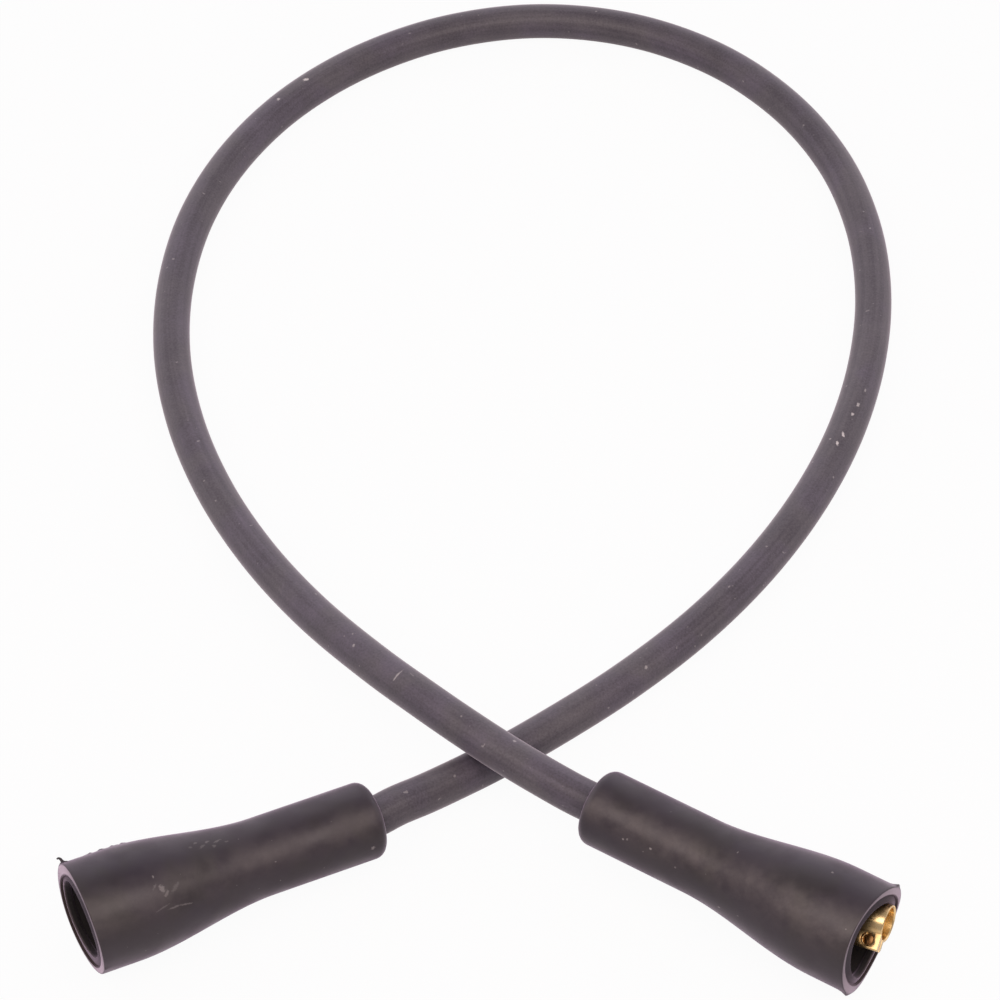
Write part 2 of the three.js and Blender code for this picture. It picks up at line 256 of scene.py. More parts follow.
def tube(name, line, lengths, radius, sides):
    """A tube of circles round the points of a line: centre + radius times (cos of the turn times
    the flat direction + sin of the turn times the upper one), with one radius or one a ring."""
    forward = unit(np.gradient(line, axis=0))
    flat = unit(np.cross(forward, UP))
    upper = np.cross(flat, forward)
    turn = np.linspace(0, 2 * np.pi, sides, endpoint=False)[None, :, None]
    ring = np.cos(turn) * flat[:, None] + np.sin(turn) * upper[:, None]
    around = np.linspace(0, 2 * np.pi * np.max(radius), sides + 1)
    rings = np.broadcast_to(radius, len(line))[:, None, None] * ring
    return grid_object(name, line[:, None] + rings, around, lengths, turned=True)


lead = tube("lead", lead_line, lead_lengths, LEAD_DIAMETER / 2, LEAD_SIDES)
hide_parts("lead_cable")
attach(lead, "root")
print("the lead has", len(lead.data.polygons), "faces")

# %% [markdown]
# ## The boots
#
# Both boots came out of the same mould, and a mould for a boot is turned on a lathe. So a boot is a
# profile, a radius for each height along the axis, carried round a full circle. The profile runs up
# the outside from the small end to the mouth, over the rim, and back down the inside: a shallow
# step in the mouth's face, a sealing lip whose inner edge stands up again, the room round the brass
# socket, and the hole that grips the lead. Corners get small arcs, because rubber never fills a
# sharp corner.

# %% The boot's sizes, in millimetres
BOOT_LENGTH = 54.3
NECK_RADIUS = 6.8
NECK_LENGTH = 20.9
MOUTH_RADIUS = 9.85
MOUTH_LENGTH = 7.5
RIM_SLOPE = 0.08
COUNTERBORE_RADIUS = 9.2
COUNTERBORE_DEPTH = 0.5
LIP_RADIUS = 6.85
LIP_RISE = 0.48
LIP_THICKNESS = 0.6
ROOM_RADIUS = 7.3
ROOM_DEPTH = 13.3
ROOM_TAPER = 1.5
GRIP_ROOM_RADIUS = 4.7
GRIP_ROOM_DEPTH = 39.8
HOLE_RADIUS = 3.53

HOLE_FILLET = 0.25
END_FILLET = 1.9
RIM_FILLET = 0.2
COUNTERBORE_FILLET = 0.1
LIP_FILLET = 0.2
LIP_BACK_FILLET = 0.15
ROOM_FILLET = 0.3
GRIP_ROOM_FILLET = 0.2
print("a boot is", BOOT_LENGTH, "mm long and", 2 * MOUTH_RADIUS, "mm across its mouth")

# %% A closed line with round corners
CORNER_STEPS = 7
SAME_POINT = 1e-4


def rounded(corners):
    """A closed line through corners, given as (radius, height, fillet). Each corner becomes an arc
    that starts and ends a fillet's length away from it: ((1-t)^2 A + 2 w t (1-t) B + t^2 C) over
    the sum of its weights, where w is the sine of half the corner's angle."""
    here = corners[:, :2]
    fillet = corners[:, 2:]
    to_before = unit(np.roll(here, 1, axis=0) - here)
    to_after = unit(np.roll(here, -1, axis=0) - here)
    cosine = np.clip((to_before * to_after).sum(axis=1), -1, 1)
    weight = np.sqrt((1 - cosine) / 2)[:, None, None]
    start = (here + to_before * fillet)[:, None]
    end = (here + to_after * fillet)[:, None]
    t = np.linspace(0, 1, CORNER_STEPS)[None, :, None]
    share = 2 * weight * t * (1 - t)
    line = ((1 - t)**2 * start + share * here[:, None] + t**2 * end) / ((1 - t)**2 + share + t**2)
    line = line.reshape(-1, 2)
    return line[np.linalg.norm(line - np.roll(line, 1, axis=0), axis=1) > SAME_POINT]


def refined(line, spacing):
    """A closed line with more points: each stretch is cut into its length over the spacing, rounded
    up, equal parts."""
    after = np.roll(line, -1, axis=0)
    counts = np.maximum(1, np.ceil(np.linalg.norm(after - line, axis=1) / spacing)).astype(int)
    first = np.repeat(np.arange(len(line)), counts)
    order = np.arange(counts.sum()) - np.repeat(np.cumsum(counts) - counts, counts)
    share = order / counts[first]
    return line[first] + (after - line)[first] * share[:, None]


# %% The boot's profile
FLARE_STEPS = 60
PROFILE_SPACING = 0.45


def eased(share):
    """From 0 to 1 without a corner at either end: 3 t^2 - 2 t^3."""
    return 3 * share**2 - 2 * share**3


def boot_profile():
    """Radius and height of the boot's outline, in millimetres. The flare is neck radius + the eased
    share of the way to the mouth times how much wider the mouth is."""
    flare_end = BOOT_LENGTH - MOUTH_LENGTH
    share = np.linspace(0, 1, FLARE_STEPS)[1:-1]
    flare = np.stack([
        NECK_RADIUS + (MOUTH_RADIUS - NECK_RADIUS) * eased(share),
        NECK_LENGTH + (flare_end - NECK_LENGTH) * share,
        np.zeros_like(share),
    ], -1)
    lip_top = BOOT_LENGTH - COUNTERBORE_DEPTH
    lip_bottom = lip_top - LIP_THICKNESS
    room_start = lip_bottom - (ROOM_RADIUS - LIP_RADIUS)
    room_end = BOOT_LENGTH - ROOM_DEPTH
    grip_end = BOOT_LENGTH - GRIP_ROOM_DEPTH
    neck = [
        (HOLE_RADIUS, 0, HOLE_FILLET), (NECK_RADIUS, 0, END_FILLET), (NECK_RADIUS, NECK_LENGTH, 0),
    ]
    rim = [
        (MOUTH_RADIUS, flare_end, 0), (MOUTH_RADIUS, BOOT_LENGTH - RIM_SLOPE, RIM_FILLET),
        (COUNTERBORE_RADIUS, BOOT_LENGTH, COUNTERBORE_FILLET),
        (COUNTERBORE_RADIUS, lip_top, COUNTERBORE_FILLET),
    ]
    inside = [
        (LIP_RADIUS, lip_top + LIP_RISE, LIP_FILLET), (LIP_RADIUS, lip_bottom, LIP_FILLET),
        (ROOM_RADIUS, room_start, LIP_BACK_FILLET), (ROOM_RADIUS, room_end, ROOM_FILLET),
        (GRIP_ROOM_RADIUS, room_end - ROOM_TAPER, ROOM_FILLET),
        (GRIP_ROOM_RADIUS, grip_end, GRIP_ROOM_FILLET), (HOLE_RADIUS, grip_end, GRIP_ROOM_FILLET),
    ]
    return refined(rounded(np.vstack([neck, flare, rim, inside])), PROFILE_SPACING)


profile = boot_profile()
profile_steps = np.linalg.norm(np.roll(profile, -1, axis=0) - profile, axis=1)
profile_lengths = np.concatenate([[0], np.cumsum(profile_steps)])
highest = int(np.argmax(profile[:, 1]))


def boot_along(height):
    """The length along the outside of the profile at a height, both in millimetres."""
    return float(np.interp(height, profile[:highest, 1], profile_lengths[:highest]))


print("the profile has", len(profile), "points and is", round(profile_lengths[-1], 1), "mm round")

# %% [markdown]
# The boot's own directions are: out of the mouth, level across, and up. They come from the way the
# mouth faces. Turns about the axis are counted from the level direction towards the upper one.

# %% From the boot's own measures to points
def in_boot(end, radius, height, turn):
    """Points of a boot: where the lead leaves it + height times out + radius times (cos of the turn
    times across + sin of the turn times up). Heights and radii are in millimetres."""
    out = mouth_axes[end]
    across = unit(np.cross(UP, out))
    up = np.cross(out, across)
    ring = np.cos(turn)[..., None] * across + np.sin(turn)[..., None] * up
    return exits[end] + (height[..., None] * out + radius[..., None] * ring) * MM


# %% [markdown]
# A mould has two halves. Where they meet, at two seams, the rubber fills the corner of the rim
# sharply, a thin fin is squeezed out and the face of the mouth is thicker. Soft rubber isn't flat
# either: a mouth sags a little between its seams. On the left boot the trimming also left a ragged
# edge along one seam. All this could be sculpted. Here each is a small push of the profile's
# points, out from the axis or along it, because a formula is easy to check and to change.

# %% The seams' fillings, fins and thicker face
# Turns and widths round the axis are in radians, the rest in millimetres. A pair is for two seams.
SEAM_TURNS = {"cap": (2.465, 5.99), "coil": (0.63, 3.77)}
CORNER_FILLS = {"cap": (1.0, 0.3), "coil": (1.0, 1.0)}
CORNER_WIDTH = 0.26
FIN_HEIGHTS = {"cap": (0.2, 0.12), "coil": (0.5, 0.4)}
FIN_WIDTHS = {"cap": (0.05, 0.06), "coil": (0.07, 0.1)}
FIN_LENGTH = 0.9
THICKENINGS = {"cap": (1.45, 0.9), "coil": (0.95, 1.1)}
THICK_WIDTH = 0.75
FACE_START = BOOT_LENGTH - 2 * COUNTERBORE_DEPTH
SMALLEST = 1e-6


def turn_apart(turn, place):
    """The angle from a place to a turn, brought between minus and plus half a circle."""
    return np.angle(np.exp(1j * (turn - place)))


def bell(distance, width):
    """A smooth bump of height 1: e to the power of minus (distance over width) squared."""
    return np.exp(-(distance / width)**2)


def blunt(distance, width):
    """A bump with a flat top: e to the power of minus (distance over width) to the fourth."""
    return np.exp(-(distance / width)**4)


def filled_corner(radius, height):
    """How far out and along a point of the rim's arc lies from the sharp corner. The arc's own
    direction (a, b) is divided by the larger of a and b, which carries a circle onto its square."""
    out = np.clip((radius - MOUTH_RADIUS + RIM_FILLET) / RIM_FILLET, 0, 1)
    along = np.clip((height - BOOT_LENGTH + RIM_SLOPE + RIM_FILLET) / RIM_FILLET, 0, 1)
    larger = np.maximum(np.maximum(out, along), SMALLEST)
    room = np.where((out > 0) & (along > 0), RIM_FILLET * (1 / larger - 1), 0)
    return out * room, along * room, out


def seam_pushes(end, radius, height, turn):
    """How far the seams push points out and along. The filled corner, the fin and the thicker face
    are each a sum over the seams of an amount times a bump round the seam's turn."""
    fill = fin = thick = 0
    for seam, share, rise, width, thickening in zip(
        SEAM_TURNS[end], CORNER_FILLS[end], FIN_HEIGHTS[end], FIN_WIDTHS[end], THICKENINGS[end]
    ):
        apart = turn_apart(turn, seam)
        fill = fill + share * blunt(apart, CORNER_WIDTH)
        fin = fin + rise * bell(apart, width)
        thick = thick + thickening * bell(apart, THICK_WIDTH)
    corner_out, corner_along, outer = filled_corner(radius, height)
    face_radii = [LIP_RADIUS, COUNTERBORE_RADIUS, MOUTH_RADIUS - RIM_FILLET]
    in_counterbore = np.interp(radius, face_radii, [0, 1, 0]) * (height > FACE_START)
    out = corner_out * fill + fin * bell(BOOT_LENGTH - height, FIN_LENGTH) * outer
    return out - thick * in_counterbore, corner_along * fill


# %% The sag of the mouth and the ragged trimming
# A sag is its level, tilt, side tilt and bend. A wave is its size, its waves in 2 pi and its start.
SAG_START = 44.0
SAG_TURNS = {"cap": 0.9, "coil": 2.2}
SAGS = {"cap": (-0.19, 0.4, 0.38, 0.14), "coil": (-0.48, -0.13, 0.0, -0.45)}
RAGGED_FROM = 42.4
RAGGED_TO = 50.0
RAGGED_FADE = 0.5
RAGGED_HEIGHT = 0.13
RAGGED_WIDTH = 0.07
RAGGED_LIMIT = 1.4
RAGGED_WAVES = [(1.0, 3.1, 0.4), (0.8, 7.7, 1.1)]
RAGGED_CROSSWAVE = (0.7, 90.0)
WALL_OUTSIDE = NECK_RADIUS + 1.0


def sag(end, height, turn):
    """How far the mouth is pushed along the axis: level + a cos + b sin + c cos of twice the turn
    from the sag's own turn, all times the eased share of the way up the mouth."""
    level, tilt, side_tilt, bend = SAGS[end]
    turn = turn - SAG_TURNS[end]
    share = np.clip((height - SAG_START) / (BOOT_LENGTH - SAG_START), 0, 1)
    push = level + tilt * np.cos(turn) + side_tilt * np.sin(turn) + bend * np.cos(2 * turn)
    return push * eased(share)


def ragged_trimming(radius, height, turn, seam):
    """Small lumps along a seam on the outside: a sum of sine waves, where that is above zero."""
    cross_size, cross_waves = RAGGED_CROSSWAVE
    lumps = cross_size * np.sin(turn * cross_waves) + sum(
        size * np.sin(height * waves + start) for size, waves, start in RAGGED_WAVES
    )
    stretch = (
        np.clip((height - RAGGED_FROM) / RAGGED_FADE, 0, 1)
        * np.clip((RAGGED_TO - height) / RAGGED_FADE, 0, 1) * (radius > WALL_OUTSIDE)
    )
    at_seam = blunt(turn_apart(turn, seam), RAGGED_WIDTH)
    return RAGGED_HEIGHT * np.clip(lumps, 0, RAGGED_LIMIT) * at_seam * stretch


for end in ENDS:
    pushes = sag(end, BOOT_LENGTH, np.linspace(0, 2 * np.pi))
    print(f"the {end} boot's rim is pushed by {pushes.min():.2f} to {pushes.max():.2f} mm")

# %% [markdown]
# The profile is carried round the axis at a set of turns. Even turns would need to be as fine all
# round as the fins need them, so these are even and sparse, with more of them packed at the seams.

# %% Turn the profile into the boots
BOOT_SIDES = 200
SEAM_SIDES = 24
SEAM_REACH = 0.36
FIN_SIDES = 10
FIN_REACH = 2


def packed_turns(end):
    """Evenly spaced turns, with more of them near each seam and most on its fin."""
    seams = np.array(SEAM_TURNS[end])[:, None]
    near_seams = seams + np.linspace(-SEAM_REACH, SEAM_REACH, SEAM_SIDES)
    fin_widths = np.array(FIN_WIDTHS[end])[:, None]
    on_fins = seams + np.linspace(-FIN_REACH, FIN_REACH, FIN_SIDES) * fin_widths
    even = np.linspace(0, 2 * np.pi, BOOT_SIDES, endpoint=False)
    return np.unique(np.concatenate([even, near_seams.ravel(), on_fins.ravel()]) % (2 * np.pi))


def boot(end):
    """A boot: the profile at every turn, pushed out and along by its seams, sag and trimming."""
    turns = packed_turns(end)
    radius, height, turn = np.broadcast_arrays(profile[:, :1], profile[:, 1:], turns[None])
    out, along = seam_pushes(end, radius, height, turn)
    if end == "cap":
        out = out + ragged_trimming(radius, height, turn, SEAM_TURNS[end][0])
    points = in_boot(end, radius + out, height + along + sag(end, height, turn), turn)
    around = np.append(turns, turns[0] + 2 * np.pi) * NECK_RADIUS * MM
    piece = grid_object(
        f"{end}_rubber_boot", points, around, profile_lengths * MM, closed_rows=True
    )
    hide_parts(f"{end}_boot")
    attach(piece, "root")
    print(piece.name, "has", len(piece.data.polygons), "faces")
    return piece


boots = {end: boot(end) for end in ENDS}

# %% [markdown]
# The curled shred is a thread of rubber that the knife left hanging on the left boot's rim. It is a
# tube again, from inside the rubber to a thin tip, with a radius that changes on the way.

# %% The shred: height, radius from the axis, turn and the shred's own radius
SHRED = [
    (53.0, 9.6, 2.34, 0.2), (53.7, 9.85, 2.42, 0.32), (53.9, 10.2, 2.45, 0.3),
    (54.05, 10.6, 2.46, 0.27), (54.3, 10.8, 2.465, 0.22), (54.6, 10.75, 2.47, 0.13),
]
SHRED_CURVE_STEPS = 20
SHRED_RINGS = 40
SHRED_SIDES = 14

shred_height, shred_radius, shred_turn, shred_width = np.array(SHRED).T
shred_points = in_boot("cap", shred_radius, shred_height, shred_turn)
shred_line, shred_lengths = evenly_spaced(
    centripetal_curve(shred_points, SHRED_CURVE_STEPS), SHRED_RINGS
)
shred_widths = MM * np.interp(
    np.linspace(0, 1, SHRED_RINGS), np.linspace(0, 1, len(SHRED)), shred_width
)
shred = tube("rim_shred", shred_line, shred_lengths, shred_widths, SHRED_SIDES)
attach(shred, "root")
print("the shred is", round(shred_lengths[-1] / MM, 1), "mm long")

# %% [markdown]
# ## Finishes as arithmetic
#
# A finish is a small network of nodes. Wiring nodes one by one hides the idea, so this class wraps
# an output socket and lets ordinary arithmetic add the nodes: `1 - mask * 0.3` becomes two Math
# nodes.

# %% Sockets that can be added and multiplied
class Wire:
    """One output socket of a finish's node tree. Arithmetic on it adds Math nodes."""

    def __init__(self, tree, socket):
        self.tree = tree
        self.socket = socket

    def math(self, operation, *values):
        """A Math node with this operation on values or wires."""
        return node(self.tree, "ShaderNodeMath", {"operation": operation}, dict(enumerate(values)))

    def __add__(self, other):
        return self.math("ADD", self, other)

    def __sub__(self, other):
        return self.math("SUBTRACT", self, other)

    def __rsub__(self, other):
        return self.math("SUBTRACT", other, self)

    def __mul__(self, other):
        return self.math("MULTIPLY", self, other)

    def __truediv__(self, other):
        return self.math("DIVIDE", self, other)

    def __rtruediv__(self, other):
        return self.math("DIVIDE", other, self)

    def __pow__(self, other):
        return self.math("POWER", self, other)

    def __rpow__(self, other):
        return self.math("POWER", other, self)

    __radd__ = __add__
    __rmul__ = __mul__

    def cosine(self):
        """The cosine of an angle in radians."""
        return self.math("COSINE", self)

    def most(self, other):
        """The larger of two values."""
        return self.math("MAXIMUM", self, other)

    def clamped(self):
        """The value, kept between 0 and 1."""
        settings = {"operation": "ADD", "use_clamp": True}
        return node(self.tree, "ShaderNodeMath", settings, {0: self, 1: 0.0})

    def above(self, low, high):
        """0 below low, 1 above high, and a smooth rise between them."""
        return node(
            self.tree, "ShaderNodeMapRange", {"interpolation_type": "SMOOTHSTEP"},
            {"Value": self, "From Min": low, "From Max": high},
        )


def node(tree, kind, settings=None, inputs=None, output=0):
    """Add a node, apply its settings, fill its sockets with values or wires, and give an output."""
    made = tree.nodes.new(kind)
    for name, value in (settings or {}).items():
        setattr(made, name, value)
    for name, value in (inputs or {}).items():
        if isinstance(value, Wire):
            tree.links.new(value.socket, made.inputs[name])
        else:
            made.inputs[name].default_value = value
    return Wire(tree, made.outputs[output]) if made.outputs else None


# %% [markdown]
# A few nodes come back in every finish: a colour between two others, soft random lumps, and places
# to read them at. A piece that stays straight reads its own coordinates. A pattern that follows the
# piece, such as the lines on a bent lead, reads the two lengths of its UV map.

# %% Nodes that every finish uses
def mixed(tree, share, first, second):
    """A colour between two colours: (1 - share) times the first + share times the second. A Mix
    node has sockets for each kind of value, and 6, 7 and output 2 are those for colours."""
    first, second = (c if isinstance(c, Wire) else (*c, 1.0) for c in (first, second))
    return node(
        tree, "ShaderNodeMix", {"data_type": "RGBA"}, {0: share, 6: first, 7: second}, output=2
    )


def noise(tree, place, scale, detail, roughness):
    """Soft random lumps round 0.5: scale of them in a metre, with finer layers added to them."""
    inputs = {"Vector": place, "Scale": scale, "Detail": detail, "Roughness": roughness}
    return node(tree, "ShaderNodeTexNoise", {}, inputs)


def specks(tree, place, scale, least, strength):
    """Small round specks where noise is higher than least."""
    speck_edge = 0.05
    lumps = noise(tree, place, scale, detail=1.0, roughness=0.4)
    return lumps.above(least, least + speck_edge) * strength


def bump(tree, height, strength, distance):
    """A normal that leans as if the surface rose by height times distance."""
    inputs = {"Strength": strength, "Distance": distance, "Height": height}
    return node(tree, "ShaderNodeBump", {}, inputs)


def object_place(tree):
    """The point's place in the piece's own coordinates, in metres."""
    return node(tree, "ShaderNodeTexCoord", output="Object")


def surface_lengths(tree):
    """The two lengths on the unrolled surface: the way round and the way along, in metres."""
    return node(tree, "ShaderNodeUVMap", {"uv_map": "lengths"})


# %% Build a finish
def emptied(owner):
    """The node tree of a material or world, with nothing in it."""
    owner.use_nodes = True
    owner.node_tree.nodes.clear()
    return owner.node_tree


def finish(name, build):
    """A material whose build function returns the inputs of its Principled shader."""
    material = bpy.data.materials.new(name)
    tree = emptied(material)
    shader = node(tree, "ShaderNodeBsdfPrincipled", {}, build(tree))
    node(tree, "ShaderNodeOutputMaterial", {}, {"Surface": shader})
    print(name, "is made of", len(tree.nodes), "nodes")
    return material


# %% [markdown]
# ## Marks
#
# Specks of dust, a chip and a few scratches sit at known places. Each is an oval on the unrolled
# surface, given by its place along the piece and round it, its size and its slant. The Mapping node
# moves, turns and scales the unrolled surface so that the oval becomes a circle of radius one.

# %% Ovals on the unrolled surface
MARK_GRAIN = 3000.0
MARK_RAGGEDNESS = 1.8
MARK_EDGE = (1.3, 2.1)


def ovals(tree, radius, marks):
    """The strongest of several ragged ovals: 1 inside an edge of (distance from the middle + noise)
    and 0 outside it, times the strength. A mark is (along, turn, half length, half width, slant,
    strength), with lengths in millimetres and angles in radians."""
    lengths = surface_lengths(tree)
    grain = noise(tree, object_place(tree), MARK_GRAIN, detail=2.0, roughness=0.6)
    ragged = grain * MARK_RAGGEDNESS
    found = 0.0
    for along, turn, half_length, half_width, slant, strength in marks:
        local = node(tree, "ShaderNodeMapping", {"vector_type": "TEXTURE"}, {
            "Vector": lengths,
            "Location": (turn * radius * MM, along * MM, 0.0),
            "Rotation": (0.0, 0.0, slant),
            "Scale": (half_width * MM, half_length * MM, 1.0),
        })
        distance = node(
            tree, "ShaderNodeVectorMath", {"operation": "LENGTH"}, {0: local}, output="Value"
        )
        oval = (1 - (distance + ragged).above(*MARK_EDGE)) * strength
        found = oval.most(found)
    return found


# %% Where the marks are, along the lead and up the boots
# A mark is its place along, its turn, half its length, half its width, its slant and its strength.
LEAD_MARKS = [
    (163.2, 1.15, 0.5, 0.2, 0.0, 0.35), (159.0, 1.26, 0.6, 0.3, 0.0, 0.6),
    (156.2, 1.36, 0.4, 0.3, 0.0, 0.8), (150.5, 1.40, 0.8, 0.28, -0.5, 0.9),
    (147.9, 1.47, 0.6, 0.3, -0.3, 0.9), (148.7, 1.96, 0.2, 0.2, 0.0, 0.5),
    (363.7, 1.57, 0.6, 0.4, 0.5, 1.0), (371.8, 1.54, 0.4, 0.35, 0.0, 0.7),
    (549.3, 1.25, 0.2, 1.3, 0.0, 0.45), (551.0, 1.75, 0.7, 0.12, 0.1, 0.2),
    (538.1, 1.12, 0.3, 0.3, 0.0, 0.45), (574.4, 1.89, 0.4, 0.35, 0.0, 0.4),
    (81.5, 1.01, 0.35, 0.3, 0.0, 0.45),
]
BOOT_MARKS = {
    "cap": [
        (41.5, 0.95, 0.5, 0.6, 0.6, 0.28), (41.0, 0.84, 0.6, 0.25, 0.5, 0.2),
        (42.6, 1.02, 0.5, 0.2, 0.5, 0.14), (39.2, 0.90, 1.1, 0.35, 0.5, 0.09),
        (42.2, 0.63, 1.3, 0.12, 0.15, 0.12), (40.3, 0.56, 1.3, 0.14, 0.0, 0.18),
        (38.2, 0.53, 1.4, 0.14, -0.15, 0.18), (33.9, 1.60, 0.4, 0.2, 0.0, 0.1),
        (32.6, 1.70, 0.3, 0.2, 0.0, 0.15), (31.9, 1.56, 0.7, 0.22, 0.4, 0.12),
        (30.7, 1.66, 0.5, 0.2, 0.3, 0.17), (29.9, 1.50, 0.4, 0.3, 0.0, 0.13),
        (28.9, 1.62, 0.8, 0.22, 0.3, 0.16), (27.5, 1.54, 0.35, 0.2, 0.0, 0.12),
        (3.3, 0.12, 0.4, 0.4, 0.0, 0.4),
    ],
    "coil": [
        (9.2, 2.68, 0.2, 0.2, 0.0, 0.5), (9.9, 2.64, 0.2, 0.2, 0.0, 0.35),
        (14.4, 2.59, 0.24, 0.22, 0.0, 0.6), (19.5, 2.75, 0.2, 0.2, 0.0, 0.3),
        (28.9, 3.20, 0.32, 0.22, 0.0, 0.4),
    ],
}
print("there are", len(LEAD_MARKS) + sum(map(len, BOOT_MARKS.values())), "marks")

# %% [markdown]
# ## Black rubber
#
# Rubber is never plain black. The lead has a grey bloom that comes to the surface as it ages, faint
# lines along it from the die, and handling marks. One colour with a gloss would look like plastic.
# So the bloom is a sum of clouds, lines, patches and a fine grain, which moves the colour between a
# dark and a pale one, and a little bump gives the light something to break on. Sheen is the soft
# paleness that a dusty surface has at its edges.

# %% The lead's finish
LEAD_DARK = (0.053, 0.045, 0.057)
LEAD_PALE = ((0.121, 0.105, 0.137), (0.120, 0.110, 0.121))
LEAD_DUST = (0.6, 0.57, 0.56)
# How often the lines change in a metre: round the lead, and along it.
LEAD_LINES = (1000.0, 14.0, 1.0)
RUBBER_BUMP = 0.3
RUBBER_BUMP_HEIGHT = 0.05 * MM


def lead_rubber(tree):
    """Colour: dark to pale by the bloom: 0.35 clouds + 0.35 lines + 0.2 patches + 1.2 grain."""
    place = object_place(tree)
    drawn_out = node(
        tree, "ShaderNodeMapping", {}, {"Vector": surface_lengths(tree), "Scale": LEAD_LINES}
    )
    lines = noise(tree, drawn_out, scale=1.0, detail=4.0, roughness=0.55)
    cloud = noise(tree, place, scale=60.0, detail=4.0, roughness=0.6)
    tint = noise(tree, place, scale=90.0, detail=2.0, roughness=0.5).above(0.4, 0.6)
    patches = noise(tree, place, scale=160.0, detail=3.0, roughness=0.6).above(0.35, 0.65)
    grain = noise(tree, place, scale=2600.0, detail=2.0, roughness=0.6)
    dust = specks(tree, place, scale=900.0, least=0.75, strength=0.25)
    marks = ovals(tree, LEAD_DIAMETER / 2 / MM, LEAD_MARKS)
    clouds_and_lines = cloud.above(0.3, 0.75) * 0.35 + lines.above(0.3, 0.7) * 0.35
    bloom = (clouds_and_lines + patches * 0.2 + (grain - 0.5) * 1.2).clamped()
    rubber = mixed(tree, bloom, LEAD_DARK, mixed(tree, tint, *LEAD_PALE))
    return {
        "Base Color": mixed(tree, dust.most(marks), rubber, LEAD_DUST),
        "Roughness": 0.4 + cloud * 0.14 + patches * 0.06,
        "Specular IOR Level": 0.5,
        "Sheen Weight": 0.6,
        "Sheen Roughness": 0.35,
        "Sheen Tint": (1.0, 0.92, 1.0, 1.0),
        "Normal": bump(tree, lines * 0.4 + grain * 0.6, RUBBER_BUMP, RUBBER_BUMP_HEIGHT),
    }


lead.data.materials.append(finish("lead rubber", lead_rubber))

# %% [markdown]
# The boots are darker and smoother than the lead, with a fine moulded grain and smudges that make
# the shine patchy. Along the side that faces up and forward they are painted paler, as a painted
# highlight. The face of the mouth is paler, most of all at the seams. Its step is dull and brown,
# the lip is painted dark on its near side and paler on its far side, as painted shade and a painted
# highlight, and behind it the rubber is painted darker, as painted shade. The two lengths of the UV
# map say which of these a point is on, so no picture is needed.

# %% The boots' finish
BOOT_BLACKS = ((0.018, 0.0115, 0.0195), (0.018, 0.0135, 0.0150))
BOOT_CLOUDED = (0.029, 0.0215, 0.028)
# The colour of a painted highlight along the side of the boots that faces the lamp.
BOOT_PAINTED_HIGHLIGHT = (0.30, 0.262, 0.24)
BOOT_DUST = (0.42, 0.39, 0.38)
RIM_FACE = (0.16, 0.135, 0.155)
SEAM_FACES = {"cap": (0.52, 0.44, 0.50), "coil": (0.34, 0.29, 0.33)}
STEP_WALL = (0.040, 0.027, 0.024)
# The lip's two colours: painted shade on its near side and a painted highlight on its far side.
LIP_PAINTED_SHADE_AND_HIGHLIGHT = ((0.018, 0.015, 0.019), (0.105, 0.085, 0.088))
# A painted shade for the hollow behind the lip.
BOOT_INSIDE_PAINTED_SHADE = (0.012, 0.010, 0.010)
# Where the painted highlight lies round each boot, how strong it is and how narrow.
PAINTED_HIGHLIGHT_TURNS = {"cap": 0.85, "coil": 2.29}
PAINTED_HIGHLIGHT_SHARES = {"cap": 0.19, "coil": 0.31}
PAINTED_HIGHLIGHT_NARROWNESS = 24

# Lengths along the profile between which the cut face of the rim and the lip lie.
RIM_END = profile_lengths[highest]
RIM_START = RIM_END - (MOUTH_RADIUS - COUNTERBORE_RADIUS - RIM_FILLET)
LIP_START = RIM_END + COUNTERBORE_DEPTH
LIP_END = LIP_START + COUNTERBORE_RADIUS - LIP_RADIUS


def mouth_colour(tree, end, outside, along, turn, smudge, grain):
    """The outside's colour up to the rim, then the cut face, the step, the lip and the inside, each
    from its own length along the profile. Also the masks of the rim and of what lies beyond it."""
    def from_length(start, blur):
        """0 before a length along the profile and 1 beyond it and its blur, in millimetres."""
        return along.above(start * MM, (start + blur) * MM)

    beyond_rim = from_length(RIM_END, 0.1)
    rim = from_length(RIM_START, 0.15) * (1 - beyond_rim)
    at_seam = (turn - SEAM_TURNS[end][0]).cosine() ** 4
    # The lip is painted dark on its near side and paler on its far side: painted shade and a painted
    # highlight.
    painted_light_far_side = 0.5 - 0.5 * (turn - SAG_TURNS[end]).cosine()
    face = mixed(tree, at_seam, RIM_FACE, SEAM_FACES[end])
    lip = mixed(tree, painted_light_far_side * painted_light_far_side * (0.7 + smudge * 0.6), *LIP_PAINTED_SHADE_AND_HIGHLIGHT)
    step_and_lip = mixed(tree, from_length(LIP_START, 0.15), STEP_WALL, lip)
    colour = mixed(tree, rim * (0.75 + grain * 0.5), outside, face)
    colour = mixed(tree, beyond_rim, colour, step_and_lip)
    # Beyond the lip the rubber is painted darker: painted shade in the hollow behind it.
    return mixed(tree, from_length(LIP_END, 0.4), colour, BOOT_INSIDE_PAINTED_SHADE), rim, beyond_rim


